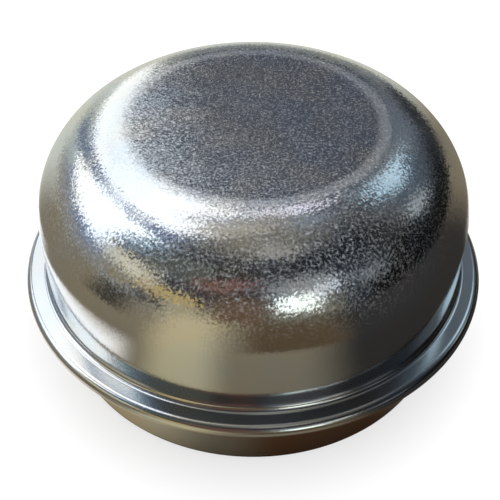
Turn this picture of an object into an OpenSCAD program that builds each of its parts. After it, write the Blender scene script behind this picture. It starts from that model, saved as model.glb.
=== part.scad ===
// Hub grease cap: one deep-drawn steel cup that is driven into the bore of a wheel hub.
// The cup stands on its open edge, crown up, with the origin on the axis at that edge.
// All lengths are in millimetres.

/* [Sheet] */
// Thickness of the steel sheet
sheet_t = 0.9; // [0.6:0.05:1.2]

/* [Skirt] */
// Outside diameter of the skirt that is pressed into the hub
skirt_d = 50.3; // [44:0.1:66]
// Height of the stop bead's underside above the open edge
skirt_h = 9.05; // [7:0.05:13]
// Height of the lead-in, where the skirt curls inwards to its open edge
lead_h = 1.8; // [1:0.1:3]
// Outside radius of the lead-in's curl
lead_r = 9.5; // [6:0.5:20]
// Radius of the hollow corner between the skirt and the underside of the bead
seat_corner_r = 0.5; // [0.3:0.1:0.9]

/* [Stop bead] */
// How far the bead, which stops against the hub's face, stands out beyond the skirt
bead_overhang = 4.15; // [3.6:0.05:8]
// Gap left between the two layers of the fold
fold_gap = 0.1; // [0.06:0.02:0.3]

/* [Body] */
// How far the upright wall above the bead stands out beyond the skirt
wall_overhang = 1.35; // [0:0.05:1.6]
// Radius of the hollow corner between the wall and the top of the bead
wall_corner_r = 0.7; // [0.5:0.1:1.4]
// Overall height of the cap
cap_h = 31.2; // [28:0.1:38]

/* [Crown] */
// Diameter of the crown's flat disc
disc_d = 30; // [26:0.1:36]
// Slope at which the shoulder leaves the disc's edge, in degrees
disc_edge_slope = 2.4; // [1:0.2:8]

/* [Finish] */
// Number of segments a full circle is drawn with
smoothness = 144; // [48:24:240]

/* [Hidden] */
$fn = smoothness;

skirt_r = skirt_d / 2;
wall_r = skirt_r + wall_overhang;
bead_r = skirt_r + bead_overhang;
disc_r = disc_d / 2;

// Rounded edge of the bead, where the fold takes the sheet round its gap
fold_out_r = sheet_t + fold_gap / 2;
fold_z = skirt_h + fold_out_r;
fold_centre = [bead_r - fold_out_r, fold_z];

// Centres of the hollow corners over and under the bead
wall_corner = [wall_r + wall_corner_r, fold_z + fold_out_r + wall_corner_r];
seat_corner = [skirt_r + seat_corner_r, skirt_h - seat_corner_r];

// Centre of the lead-in's curl
lead_centre = [skirt_r - lead_r, lead_h];

// Arc of the shoulder, from the disc's edge at its slope to the upright wall. Its radius is
// rounded to a hundredth of a millimetre, and its centre keeps it on the wall and the edge.
shoulder_r = round(100 * (wall_r - disc_r) / (1 - sin(disc_edge_slope))) / 100;
shoulder_centre_r = wall_r - shoulder_r;
disc_reach = disc_r - shoulder_centre_r;
shoulder_centre_z = cap_h - sqrt(shoulder_r * shoulder_r - disc_reach * disc_reach);

// Each fill below is the half section of all that lies within the cap's outside, set in by a
// depth: none for the outside itself, and the sheet's thickness for the hollow.

// Flat crown, shoulder and upright wall, down to the middle of the bead
module cup_fill(depth) {
    intersection() {
        union() {
            square([wall_r - depth, shoulder_centre_z]);
            square([shoulder_centre_r, cap_h]);
            translate([shoulder_centre_r, shoulder_centre_z])
                circle(r = shoulder_r - depth);
        }
        translate([0, fold_z])
            square([bead_r, cap_h - depth - fold_z]);
    }
}

// Band from the middle of the bead to the centre of a hollow corner, less the corner's round
module corner_fill(centre, radius) {
    difference() {
        translate([0, min(centre[1], fold_z)])
            square([centre[0], abs(centre[1] - fold_z)]);
        translate(centre)
            circle(r = radius);
    }
}

// Stop bead with its rounded edge, and the hollow corners that join it to the wall and the skirt
module bead_fill(depth) {
    translate([0, skirt_h + depth])
        square([fold_centre[0], 2 * (fold_out_r - depth)]);
    translate(fold_centre)
        circle(r = fold_out_r - depth);
    corner_fill(wall_corner, wall_corner_r + depth);
    corner_fill(seat_corner, seat_corner_r + depth);
}

// Skirt, straight where it grips the hub and curled in a little at its open edge. The hollow
// runs on below that edge, which leaves the cup open.
module skirt_fill(depth) {
    translate([0, lead_h])
        square([skirt_r - depth, fold_z - lead_h]);
    translate([0, -depth])
        square([lead_centre[0], fold_z + depth]);
    intersection() {
        translate(lead_centre)
            circle(r = lead_r - depth);
        translate([0, -depth])
            square([skirt_r, fold_z + depth]);
    }
}

module cap_fill(depth) {
    cup_fill(depth);
    bead_fill(depth);
    skirt_fill(depth);
}

// The whole cap, drawn from one sheet
module grease_cap() {
    color("silver")
        rotate_extrude()
            difference() {
                cap_fill(0);
                cap_fill(sheet_t);
            }
}

grease_cap();
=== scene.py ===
import math

import bpy
import numpy as np
from mathutils import Matrix


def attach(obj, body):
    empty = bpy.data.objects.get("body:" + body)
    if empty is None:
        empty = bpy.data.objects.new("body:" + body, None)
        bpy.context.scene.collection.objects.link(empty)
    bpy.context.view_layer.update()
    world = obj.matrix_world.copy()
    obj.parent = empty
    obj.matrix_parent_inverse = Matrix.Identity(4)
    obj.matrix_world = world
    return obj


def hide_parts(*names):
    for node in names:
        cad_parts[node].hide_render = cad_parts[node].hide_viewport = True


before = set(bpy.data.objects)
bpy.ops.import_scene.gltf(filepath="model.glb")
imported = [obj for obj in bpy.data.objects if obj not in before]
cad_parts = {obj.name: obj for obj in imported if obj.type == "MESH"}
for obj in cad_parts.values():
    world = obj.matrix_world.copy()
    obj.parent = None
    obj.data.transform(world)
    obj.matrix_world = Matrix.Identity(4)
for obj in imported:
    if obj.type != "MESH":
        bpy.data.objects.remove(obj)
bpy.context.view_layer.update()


# Camera
# The view in the photograph: from the front, looking down at the cap by 42.7 degrees from
# 123 mm away, found by fitting the section's outlines to the picture.
def aim(eye, down_deg, roll_deg):
    """World matrix of a camera at eye that looks along +Y and down by down_deg, with its
    picture turned clockwise by roll_deg."""
    e, roll = math.radians(down_deg), math.radians(roll_deg)
    right = np.array([1.0, 0.0, 0.0])
    down = np.array([0.0, -math.sin(e), -math.cos(e)])
    forward = np.array([0.0, math.cos(e), -math.sin(e)])
    across = math.cos(roll) * right - math.sin(roll) * down
    below = math.sin(roll) * right + math.cos(roll) * down
    world = Matrix.Identity(4)
    for col, axis in enumerate((across, -below, -forward)):
        for row in range(3):
            world[row][col] = axis[row]
    for row in range(3):
        world[row][3] = eye[row]
    return world


scene = bpy.context.scene
scene.view_settings.view_transform = "Standard"
camera_data = bpy.data.cameras.new("photo_camera")
camera_data.sensor_width = 36.0
camera_data.lens = 67.18
camera_data.clip_start = 0.005
camera = bpy.data.objects.new("photo_camera", camera_data)
scene.collection.objects.link(camera)
camera.matrix_world = aim((-0.00041, -0.09019, 0.09373), 42.669, 0.204)
scene.camera = camera


# Grease cap
# One cup deep drawn from 0.9 mm steel sheet: flat crown, shoulder, wall, stop bead folded back
# under itself, and press-in skirt with a curled lead-in. The shell follows the sheet's section
# on both faces, and is turned about the axis.
def arc(centre, radius, start_deg, end_deg, steps):
    """Points at equal angles on a circle about centre, in (radius, height), from start_deg to
    end_deg, with 0 pointing away from the axis and 90 up."""
    a = np.radians(np.linspace(start_deg, end_deg, steps))
    return np.column_stack([centre[0] + radius * np.cos(a), centre[1] + radius * np.sin(a)])


def line(start, end, steps):
    """Points at equal distances between start and end, without the two ends."""
    t = np.linspace(0, 1, steps + 2)[1:-1, None]
    return np.array(start) * (1 - t) + np.array(end) * t


def revolve(profile, segments):
    """Closed surface of a profile turned about Z: a ring of vertices at each profile point,
    each ring joined to the next by quads, and one vertex on the axis at each end."""
    turn = 2 * np.pi * np.arange(segments) / segments
    ring = np.column_stack([np.cos(turn), np.sin(turn)])
    inner = profile[1:-1]
    body = np.empty((len(inner), segments, 3))
    body[..., :2] = inner[:, None, :1] * ring[None]
    body[..., 2] = inner[:, None, 1]
    points = np.vstack([[0, 0, profile[0, 1]], body.reshape(-1, 3), [0, 0, profile[-1, 1]]])
    row = 1 + segments * np.arange(len(inner) - 1)[:, None]
    col = np.arange(segments)
    after = (col + 1) % segments
    quads = np.stack([row + col, row + segments + col, row + segments + after, row + after], -1)
    last = 1 + segments * (len(inner) - 1)
    top = np.stack([np.zeros_like(col), 1 + col, 1 + after], -1)
    end = np.stack([np.full_like(col, len(points) - 1), last + after, last + col], -1)
    return points, quads.reshape(-1, 4).tolist() + top.tolist() + end.tolist()


# Sizes of the outside, and the sheet, in millimetres
sheet = 0.9
cap_h, disc_r, wall_r, shoulder_r = 31.2, 15.0, 26.5, 12.0
bead_r, bead_z, fold_r = 29.3, 9.05, 0.95
skirt_r, lead_h, lead_r = 25.15, 1.8, 9.5
wall_corner_r, seat_corner_r = 0.7, 0.5

shoulder_x = wall_r - shoulder_r
shoulder = (shoulder_x, cap_h - math.sqrt(shoulder_r**2 - (disc_r - shoulder_x) ** 2))
fold = (bead_r - fold_r, bead_z + fold_r)
wall_corner = (wall_r + wall_corner_r, bead_z + 2 * fold_r + wall_corner_r)
seat_corner = (skirt_r + seat_corner_r, bead_z - seat_corner_r)
lead = (skirt_r - lead_r, lead_h)


def face(depth):
    """One face of the sheet at a depth below the outside, from the crown's middle to the open
    edge, in (radius, height): a flat disc, the shoulder's arc down to the upright wall, a
    hollow corner, the half turn of the fold, a second hollow corner, and the skirt with its
    lead-in. Arcs that bulge outwards lose the depth from their radius and hollow ones gain it."""
    top = cap_h - depth
    rise = math.degrees(math.asin((top - shoulder[1]) / (shoulder_r - depth)))
    disc_edge = shoulder[0] + math.sqrt((shoulder_r - depth) ** 2 - (top - shoulder[1]) ** 2)
    curl = -math.degrees(math.asin(lead_h / (lead_r - depth)))
    return np.vstack([
        [[0, top]],
        line((0, top), (disc_edge, top), 16),
        arc(shoulder, shoulder_r - depth, rise, 0, 44),
        line((wall_r - depth, shoulder[1]), (wall_r - depth, wall_corner[1]), 10),
        arc(wall_corner, wall_corner_r + depth, 180, 270, 11),
        arc(fold, fold_r - depth, 90, -90, 21),
        arc(seat_corner, seat_corner_r + depth, 90, 180, 8),
        line((skirt_r - depth, seat_corner[1]), (skirt_r - depth, lead_h), 6),
        arc(lead, lead_r - depth, 0, curl, 6),
    ])


section = np.vstack([face(0), face(sheet)[::-1]]) / 1000
shell_points, shell_faces = revolve(section, segments=384)
shell_mesh = bpy.data.meshes.new("bright_zinc_cap")
shell_mesh.from_pydata(shell_points.tolist(), [], shell_faces)
shell_mesh.polygons.foreach_set("use_smooth", np.ones(len(shell_faces), dtype=bool))
shell_mesh.update()
cap = bpy.data.objects.new("bright_zinc_cap", shell_mesh)
scene.collection.objects.link(cap)


# Finish of the cap
# Bright zinc plating on drawn steel: nearly a mirror, broken up by the orange-peel grain that
# stretching gives the sheet over the crown and shoulder, and by fine draw lines on the wall.
def linear(hex_colour):
    """Linear RGBA of an sRGB colour written as RRGGBB."""
    s = np.array([int(hex_colour[i : i + 2], 16) for i in (0, 2, 4)]) / 255
    return (*np.where(s <= 0.04045, s / 12.92, ((s + 0.055) / 1.055) ** 2.4), 1.0)


def add(tree, kind, inputs=None, **settings):
    """New node of a kind in a tree, with its settings, and with its inputs set to values or
    linked to other nodes' outputs."""
    node = tree.nodes.new(kind)
    for name, value in settings.items():
        setattr(node, name, value)
    for name, value in (inputs or {}).items():
        if isinstance(value, bpy.types.NodeSocket):
            tree.links.new(value, node.inputs[name])
        else:
            node.inputs[name].default_value = value
    return node


zinc = bpy.data.materials.new("bright_zinc_plating")
zinc.use_nodes = True
nt = zinc.node_tree
nt.nodes.clear()
place = add(nt, "ShaderNodeTexCoord").outputs["Object"]
height = add(nt, "ShaderNodeSeparateXYZ", {0: place}).outputs["Z"]

# Stretch: full on the crown and shoulder, almost none down the wall and on the bead
stretch = add(
    nt, "ShaderNodeMapRange",
    {"Value": height, "From Min": 0.0175, "From Max": 0.027, "To Min": 0.14, "To Max": 1.0},
    interpolation_type="SMOOTHSTEP",
).outputs["Result"]

# Grain: hollows and hills 0.2 to 0.3 mm across, whose slopes lean by a few degrees, so that light
# and dark meet in salt and pepper
flat = add(nt, "ShaderNodeNewGeometry").outputs["Normal"]
slope = add(
    nt, "ShaderNodeTexNoise", {"Vector": place, "Scale": 3700.0, "Detail": 2.0, "Roughness": 0.7}
).outputs["Color"]
slope = add(
    nt, "ShaderNodeVectorMath", {0: slope, 1: (0.5, 0.5, 0.5)}, operation="SUBTRACT"
).outputs[0]
tilt = add(nt, "ShaderNodeMath", {0: stretch, 1: 0.36}, operation="MULTIPLY").outputs[0]
slope = add(nt, "ShaderNodeVectorMath", {0: slope, "Scale": tilt}, operation="SCALE").outputs[0]
grained = add(nt, "ShaderNodeVectorMath", {0: flat, 1: slope}, operation="ADD").outputs[0]
grain_normal = add(nt, "ShaderNodeVectorMath", {0: grained}, operation="NORMALIZE").outputs[0]

# Draw lines: streaks that run down the wall. The real ones are finer than a pixel, so they are
# drawn about 0.25 mm wide.
drawn = add(
    nt, "ShaderNodeMapping", {"Vector": place, "Scale": (4000.0, 4000.0, 120.0)}
).outputs["Vector"]
streak = add(nt, "ShaderNodeTexNoise", {"Vector": drawn, "Scale": 1.0, "Detail": 2.0}).outputs["Fac"]
draw_bump = add(
    nt, "ShaderNodeBump",
    {"Strength": 0.5, "Distance": 0.00001, "Height": streak, "Normal": grain_normal},
).outputs["Normal"]

# Haze: the stretched sheet is duller, in patches a few millimetres across, and dullest on the
# ring round the crown's disc where the punch rubbed it
patch = add(nt, "ShaderNodeTexNoise", {"Vector": place, "Scale": 300.0, "Detail": 4.0}).outputs["Fac"]
cloud = add(
    nt, "ShaderNodeMapRange",
    {"Value": patch, "From Min": 0.35, "From Max": 0.68, "To Min": 0.04, "To Max": 0.1},
).outputs["Result"]
haze = add(nt, "ShaderNodeMath", {0: cloud, 1: stretch}, operation="MULTIPLY").outputs[0]
level = add(nt, "ShaderNodeVectorMath", {0: place, 1: (1, 1, 0)}, operation="MULTIPLY").outputs[0]
radius = add(nt, "ShaderNodeVectorMath", {0: level}, operation="LENGTH").outputs["Value"]
off_ring = add(nt, "ShaderNodeMath", {0: radius, 1: 0.0152}, operation="SUBTRACT").outputs[0]
off_ring = add(nt, "ShaderNodeMath", {0: off_ring}, operation="ABSOLUTE").outputs[0]
rubbed = add(
    nt, "ShaderNodeMapRange",
    {"Value": off_ring, "From Min": 0.0002, "From Max": 0.0011, "To Min": 0.08, "To Max": 0.0},
    interpolation_type="SMOOTHSTEP",
).outputs["Result"]
rubbed = add(nt, "ShaderNodeMath", {0: rubbed, 1: stretch}, operation="MULTIPLY").outputs[0]
dullness = add(nt, "ShaderNodeMath", {0: haze, 1: rubbed}, operation="ADD").outputs[0]
# The bead and the skirt, which the tools squeezed hardest, are duller than the wall
squeezed = add(
    nt, "ShaderNodeMapRange",
    {"Value": height, "From Min": 0.0112, "From Max": 0.0125, "To Min": 0.17, "To Max": 0.09},
    interpolation_type="SMOOTHSTEP",
).outputs["Result"]
dullness = add(nt, "ShaderNodeMath", {0: dullness, 1: squeezed}, operation="ADD").outputs[0]

# Bloom: a thin pale film of zinc oxide in specks, which scatters the room's light and lifts the dark
# places.
# It lies on the stretched sheet. Towards the cap's right side it is cut down to 0.15 of itself, so
# that
# side comes out darker: painted shade.
speck = add(
    nt, "ShaderNodeTexNoise", {"Vector": place, "Scale": 3200.0, "Detail": 3.0, "Roughness": 0.75}
).outputs["Fac"]
bloom = add(
    nt, "ShaderNodeMapRange",
    {"Value": speck, "From Min": 0.49, "From Max": 0.8, "To Min": 0.0, "To Max": 0.42},
).outputs["Result"]
full = add(nt, "ShaderNodeMath", {0: stretch, 1: 3.0}, operation="POWER").outputs[0]
bloom = add(nt, "ShaderNodeMath", {0: bloom, 1: full}, operation="MULTIPLY").outputs[0]
# Painted shade: the bloom falls away towards +X, the picture's right, so the right side renders
# darker
side = add(nt, "ShaderNodeSeparateXYZ", {0: place}).outputs["X"]
painted_shade_right = add(
    nt, "ShaderNodeMapRange",
    {"Value": side, "From Min": 0.009, "From Max": 0.021, "To Min": 1.0, "To Max": 0.15},
    interpolation_type="SMOOTHSTEP",
).outputs["Result"]
bloom = add(nt, "ShaderNodeMath", {0: bloom, 1: painted_shade_right}, operation="MULTIPLY").outputs[0]
bloom = add(nt, "ShaderNodeMath", {0: bloom, 1: rubbed}, operation="ADD").outputs[0]
bare = add(nt, "ShaderNodeMath", {0: 1.0, 1: bloom}, operation="SUBTRACT").outputs[0]

# Tint: the passivation's faint play of colour, blue in some places and straw in others
film = add(nt, "ShaderNodeTexNoise", {"Vector": place, "Scale": 150.0, "Detail": 1.0}).outputs["Fac"]
film = add(
    nt, "ShaderNodeMapRange", {"Value": film, "From Min": 0.3, "From Max": 0.7}
).outputs["Result"]
tint = add(
    nt, "ShaderNodeMix",
    {"Factor": film, 6: linear("D4DCE4"), 7: linear("DEDDD9")}, data_type="RGBA",
).outputs[2]
shader = add(
    nt, "ShaderNodeBsdfPrincipled",
    {"Base Color": tint, "Metallic": bare, "Roughness": dullness, "Normal": draw_bump},
).outputs["BSDF"]
add(nt, "ShaderNodeOutputMaterial", {"Surface": shader})
shell_mesh.materials.append(zinc)
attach(cap, "root")
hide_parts("grease_cap")


# Floor
# White paper sweep under the cap, just below its open edge. To the eye it is part evenly white,
# which keeps the picture's ground white, and part matt, which takes the cap's shadow.
def to_the_eye(tree):
    """1 for light on its way to the eye, straight, mirrored or let through, and otherwise 0."""
    rays = add(tree, "ShaderNodeLightPath").outputs
    seen = add(
        tree, "ShaderNodeMath", {0: rays["Is Camera Ray"], 1: rays["Is Glossy Ray"]},
        operation="MAXIMUM",
    ).outputs[0]
    return add(
        tree, "ShaderNodeMath", {0: seen, 1: rays["Is Transmission Ray"]}, operation="MAXIMUM"
    ).outputs[0]


# Height of the paper and half its width, in metres
floor_z = -0.0004
half = 3
floor_mesh = bpy.data.meshes.new("floor")
floor_mesh.from_pydata(
    [(-half, -half, floor_z), (half, -half, floor_z), (half, half, floor_z), (-half, half, floor_z)],
    [], [(0, 1, 2, 3)],
)
floor = bpy.data.objects.new("floor", floor_mesh)
scene.collection.objects.link(floor)
paper = bpy.data.materials.new("white_paper")
paper.use_nodes = True
pt = paper.node_tree
pt.nodes.clear()
even_share = add(
    pt, "ShaderNodeMath", {0: to_the_eye(pt), 1: 0.6}, operation="MULTIPLY"
).outputs[0]
matt = add(pt, "ShaderNodeBsdfDiffuse", {"Color": linear("F7F7F7")}).outputs[0]
even = add(pt, "ShaderNodeEmission", {"Color": linear("FFFFFF"), "Strength": 1.0}).outputs[0]
sheet_look = add(pt, "ShaderNodeMixShader", {0: even_share, 1: matt, 2: even}).outputs[0]
add(pt, "ShaderNodeOutputMaterial", {"Surface": sheet_look})
floor_mesh.materials.append(paper)


# Table in the mirror
# A worktop for the metal to mirror, on a disc over the floor that only reflections see. It is
# plain brown wood with painted light and shade over a few broad areas: window light behind and to the
# left, shade to the right, a pale strip in front, the bead's shadow close in front of the cap, and
# window light close under its left.
def lay(wood, az, radius, az0, az1, r0, r1, hex_colour, soft):
    """Wood colours with a soft-edged area laid over them, between two azimuths, clockwise from
    behind the cap, and two radii in millimetres. It fades over soft degrees at its sides, and
    over an eighth of its radius at its inner and outer edges."""
    across = (az - az0) % 360
    rim = np.minimum(across, az1 - az0 - across) / soft
    rim = np.minimum(rim, np.minimum(radius / r0 - 1, 1 - radius / r1) * 8)
    t = np.clip(rim, 0, 1)[..., None]
    fade = t * t * (3 - 2 * t)
    return wood * (1 - fade) + np.array(linear(hex_colour)) * fade


# Rings from 12 mm out to 2.8 m, each 3 percent wider than the last, with a point every 3 degrees
table_z = -0.0002
table_rings = 0.012 * 1.03 ** np.arange(185)
table_az = np.radians(np.arange(0, 360, 3))
ring_r, ring_az = np.meshgrid(table_rings, table_az, indexing="ij")
table_points = np.stack(
    [ring_r * np.sin(ring_az), ring_r * np.cos(ring_az), np.full_like(ring_r, table_z)], -1
)
ids = np.arange(ring_r.size).reshape(ring_r.shape)
nxt = np.roll(ids, -1, axis=1)
table_faces = np.stack([ids[:-1], nxt[:-1], nxt[1:], ids[1:]], -1).reshape(-1, 4)
wood = np.full((*ring_r.shape, 4), linear("706858"))
# Name, azimuths, radii, colour and softness
areas = [
    ("window_light_back", 290, 400, 30, 4000, "B4B4A8", 25),
    ("window_light_near", 275, 440, 29, 52, "FFFFFF", 22),
    ("window_light_left", 222, 330, 33, 42, "FFFFFF", 16),
    ("shade_right", 52, 165, 29, 4000, "2C2A28", 26),
    # Painted shadow of the bead on the brown wood, close round the cap's front
    ("bead_shadow_front", 120, 196, 9, 36, "4A3424", 25),
    ("brown_strip", 138, 190, 50, 4000, "4A3E2E", 14),
    ("pale_strip", 186, 226, 34, 4000, "A89E80", 16),
    ("shade_left", 228, 258, 70, 4000, "38342C", 12),
    # Painted window light on the wood, close under the cap's left side
    ("window_light_under_left", 190, 330, 9, 36, "C4B494", 25),
]
for _, az0, az1, r0, r1, hex_colour, soft in areas:
    wood = lay(wood, np.degrees(ring_az), ring_r * 1000, az0, az1, r0, r1, hex_colour, soft)
table_mesh = bpy.data.meshes.new("mirrored_worktop")
table_mesh.from_pydata(table_points.reshape(-1, 3).tolist(), [], table_faces.tolist())
colour_layer = table_mesh.color_attributes.new("Wood", "FLOAT_COLOR", "POINT")
colour_layer.data.foreach_set("color", wood.reshape(-1))
table = bpy.data.objects.new("mirrored_worktop", table_mesh)
scene.collection.objects.link(table)
worktop = bpy.data.materials.new("worktop")
worktop.use_nodes = True
worktop_tree = worktop.node_tree
worktop_tree.nodes.clear()
painted = add(worktop_tree, "ShaderNodeVertexColor", layer_name="Wood").outputs["Color"]
wood_shader = add(worktop_tree, "ShaderNodeBsdfDiffuse", {"Color": painted}).outputs[0]
add(worktop_tree, "ShaderNodeOutputMaterial", {"Surface": wood_shader})
table_mesh.materials.append(worktop)
table.visible_camera = False
table.visible_diffuse = False
table.visible_shadow = False


# Room in the mirror
# Soft-edged cards on a dome round the cap, seen by reflections alone: the windows, the lamp, the
# dark room and its coloured things. The room isn't known, so each card was placed and coloured one
# by one, and adjusted until the metal came near the photograph's.

# Middle of the dome, at about half the cap's height
dome_z = 0.015
# A card whose foot is at this elevation or lower goes down to the floor with no fade there.
floor_el = -3


def card(name, az0, az1, el0, el1, hex_colour, strength, soft, lean, slant, reach):
    """Patch of a dome about the cap between two azimuths, clockwise from behind the cap seen
    from above, and two elevations, fading over soft degrees at its edge unless it goes all
    round, up to the top or down to the floor. Its top and foot rise by lean degrees for each
    degree of azimuth, and its sides move round by slant degrees for each degree of
    elevation."""
    steps = 41
    a, e = np.meshgrid(np.linspace(az0, az1, steps), np.linspace(el0, el1, steps))
    rim = e - el0 if el0 > floor_el else np.full_like(e, 90.0)
    if el1 < 90:
        rim = np.minimum(rim, el1 - e)
    if az1 - az0 < 360:
        rim = np.minimum(rim, np.minimum(a - az0, az1 - a))
    t = np.clip(rim / soft, 0, 1)
    fade = t * t * (3 - 2 * t)
    a, e = a + slant * (e - (el0 + el1) / 2), e + lean * (a - (az0 + az1) / 2)
    a, e = np.radians(a), np.radians(e)
    points = reach * np.stack([np.cos(e) * np.sin(a), np.cos(e) * np.cos(a), np.sin(e)], -1)
    points[..., 2] += dome_z
    index = np.arange(steps * steps).reshape(steps, steps)
    faces = np.stack([index[:-1, :-1], index[:-1, 1:], index[1:, 1:], index[1:, :-1]], -1)
    mesh = bpy.data.meshes.new(name)
    mesh.from_pydata(points.reshape(-1, 3).tolist(), [], faces.reshape(-1, 4).tolist())
    layer = mesh.attributes.new("fade", "FLOAT", "POINT")
    layer.data.foreach_set("value", fade.reshape(-1))
    material = bpy.data.materials.new(name)
    material.use_nodes = True
    tree = material.node_tree
    tree.nodes.clear()
    weight = add(tree, "ShaderNodeAttribute", attribute_name="fade").outputs["Fac"]
    glow = add(
        tree, "ShaderNodeEmission", {"Color": linear(hex_colour), "Strength": strength}
    ).outputs[0]
    clear = add(tree, "ShaderNodeBsdfTransparent").outputs[0]
    mixed = add(tree, "ShaderNodeMixShader", {0: weight, 1: clear, 2: glow}).outputs[0]
    add(tree, "ShaderNodeOutputMaterial", {"Surface": mixed})
    mesh.materials.append(material)
    piece = bpy.data.objects.new(name, mesh)
    scene.collection.objects.link(piece)
    piece.visible_camera = False
    piece.visible_diffuse = False
    piece.visible_shadow = False


# Name, azimuths, elevations, colour, strength, softness, lean and slant
room = [
    ("dark_room", 0, 360, -4, 90, "35363A", 1.0, 1, 0, 0),
    ("ceiling", 0, 360, 58, 90, "75726A", 1.0, 20, 0, 0),
    ("ceiling_back", 300, 385, 68, 89, "C4BCAC", 1.0, 9, 0, 0),
    ("ceiling_right", 20, 62, 60, 78, "8C9096", 1.0, 8, 0, 0),
    ("ceiling_front", 128, 182, 62, 86, "A8A298", 1.0, 9, 0, 0),
    ("right_wall", 8, 84, 16, 60, "4E565E", 1.0, 10, 0, 0),
    ("right_near", 12, 42, 15, 60, "666C74", 1.0, 8, 0, 0),
    ("right_gap", 10, 28, 41, 57, "3A4048", 1.0, 5, 0, 0),
    ("right_light", 28, 58, 34, 53, "C0DCEC", 1.3, 7, 0, 0),
    ("right_pale", 62, 81, 20, 36, "B4B8B6", 1.0, 6, 0, 0),
    ("right_far", 82, 138, 10, 60, "2A2D31", 1.0, 10, 0, 0),
    ("front_dark", 96, 158, 44, 60, "18191B", 1.0, 6, 0, 0),
    ("right_blotch", 110, 130, 14, 30, "7A7D82", 1.0, 6, 0, 0),
    ("right_black", 40, 128, -3, 18, "0C0C0C", 1.0, 6, 0, 0),
    ("right_low", 14, 52, -3, 13, "2C2C2C", 1.0, 6, 0, 0),
    ("right_lobe", 75, 108, 6, 32, "101012", 1.0, 7, 0, 0),
    ("front_wall", 136, 176, 24, 46, "8E8E8C", 1.0, 8, 0, 0),
    ("front_low", 134, 176, -3, 20, "6C6858", 1.0, 6, 0, 0),
    ("front_lamp", 148, 169, 7, 27, "F2F8EC", 2.2, 5, 0, 0),
    ("lamp_streak", 134, 156, 19, 32, "ECEEEE", 1.2, 5, -0.4, 0),
    ("brown_wall", 170, 202, -3, 30, "665240", 1.0, 6, 0, 0),
    ("dark_front", 196, 248, 28, 58, "585A52", 1.0, 9, 0, 0),
    ("dark_blob", 160, 206, 42, 57, "302E28", 1.0, 6, 0, 0),
    ("red_patch", 178, 212, 32, 41, "A0604C", 1.0, 4, -0.25, 0),
    ("olive_front", 195, 226, -3, 12, "B0A688", 1.0, 6, 0, 0),
    ("yellow_patch", 204, 242, 9, 21, "D8B870", 1.0, 4, 0.1, 0),
    ("left_low", 232, 330, -3, 18, "8E8C86", 1.0, 8, 0, 0),
    ("low_pane", 316, 352, -4, 15, "DCE0D4", 1.0, 7, 0, 0),
    ("ochre_patch", 238, 256, 3, 12, "94804E", 1.0, 4, 0, 0),
    ("pale_left", 226, 266, 12, 34, "E8E0C6", 1.0, 9, 0, 0),
    ("left_high", 238, 266, 36, 64, "707C86", 1.0, 8, 0, 0),
    ("pane_edge", 246, 262, 34, 60, "7898AE", 1.0, 6, 0, 0),
    ("window_frame", 258, 350, 8, 76, "66789C", 1.0, 5, 0, 0),
    ("frame_low", 306, 338, -2, 26, "B6BCB4", 1.0, 6, -0.5, 0),
    ("window_left", 261, 314, 16, 54, "FAFEFF", 1.6, 4, 0, 0),
    ("window_corner", 252, 292, 43, 54, "FAFEFF", 1.9, 4, -0.15, 0),
    ("window_top", 264, 340, 44, 78, "FFFEFC", 1.55, 4, -0.4, 0),
    ("window_mid", 304, 356, 43, 71, "F8F8F8", 1.6, 5, 0, 0),
    ("ceiling_left", 250, 352, 71, 90, "ACA89C", 1.0, 8, 0, 0),
    ("window_back", 310, 348, 17, 50, "F8FCFC", 1.5, 4, -1.1, 0),
    ("pane_grey", 322, 343, 33, 43, "F0F4F4", 1.15, 4, 0, 0),
    ("mullion_upper", 246, 297, 53, 63, "4C6090", 1.0, 3, -0.4, 0),
    ("mullion_lower", 307.5, 320, 6, 46, "526482", 1.0, 4, 0, -0.65),
    ("back_low", 344, 385, -3, 20, "80827E", 1.0, 8, 0, 0),
    ("back_dark", 351, 377, 14, 54, "464A54", 1.0, 5, 0, 0),
    ("back_mid", 344, 364, 43.5, 50.5, "D8DCE0", 0.85, 3, 0, 0),
    ("haze_grey", 338, 355, 22, 47, "C0C4CA", 1.0, 8, 0, 0),
    ("window_haze", 330, 350, 10, 56, "F0F4F4", 1.45, 9, 0, 0),
    ("back_pink", 359, 386, 55, 68, "F8F0F8", 1.8, 6, 0, 0),
]
# The first card is the farthest out, and each stands a little nearer than the one before it, and
# so in front of it. Both in metres
farthest, nearer_by = 1.6, 0.025
for order, entry in enumerate(room):
    card(*entry, reach=farthest - nearer_by * order)


# Light
# One large soft lamp over the sweep for the paper and the cap's shadow, in an even white tent.
lamp_data = bpy.data.lights.new("overhead_softbox", "AREA")
lamp_data.shape = "SQUARE"
lamp_data.size = 2.0
lamp_data.energy = 14.0
lamp = bpy.data.objects.new("overhead_softbox", lamp_data)
scene.collection.objects.link(lamp)
lamp.location = (0, 0, 1.0)
lamp.visible_glossy = False
world = bpy.data.worlds.new("white_tent")
scene.world = world
world.use_nodes = True
world_tree = world.node_tree
world_tree.nodes.clear()
# White to the eye, and a tenth dimmer as light on the cap and the paper
brightness = add(
    world_tree, "ShaderNodeMapRange",
    {"Value": to_the_eye(world_tree), "To Min": 0.9, "To Max": 1.0},
).outputs["Result"]
tent = add(
    world_tree, "ShaderNodeBackground", {"Color": linear("FFFFFF"), "Strength": brightness}
).outputs[0]
add(world_tree, "ShaderNodeOutputWorld", {"Surface": tent})
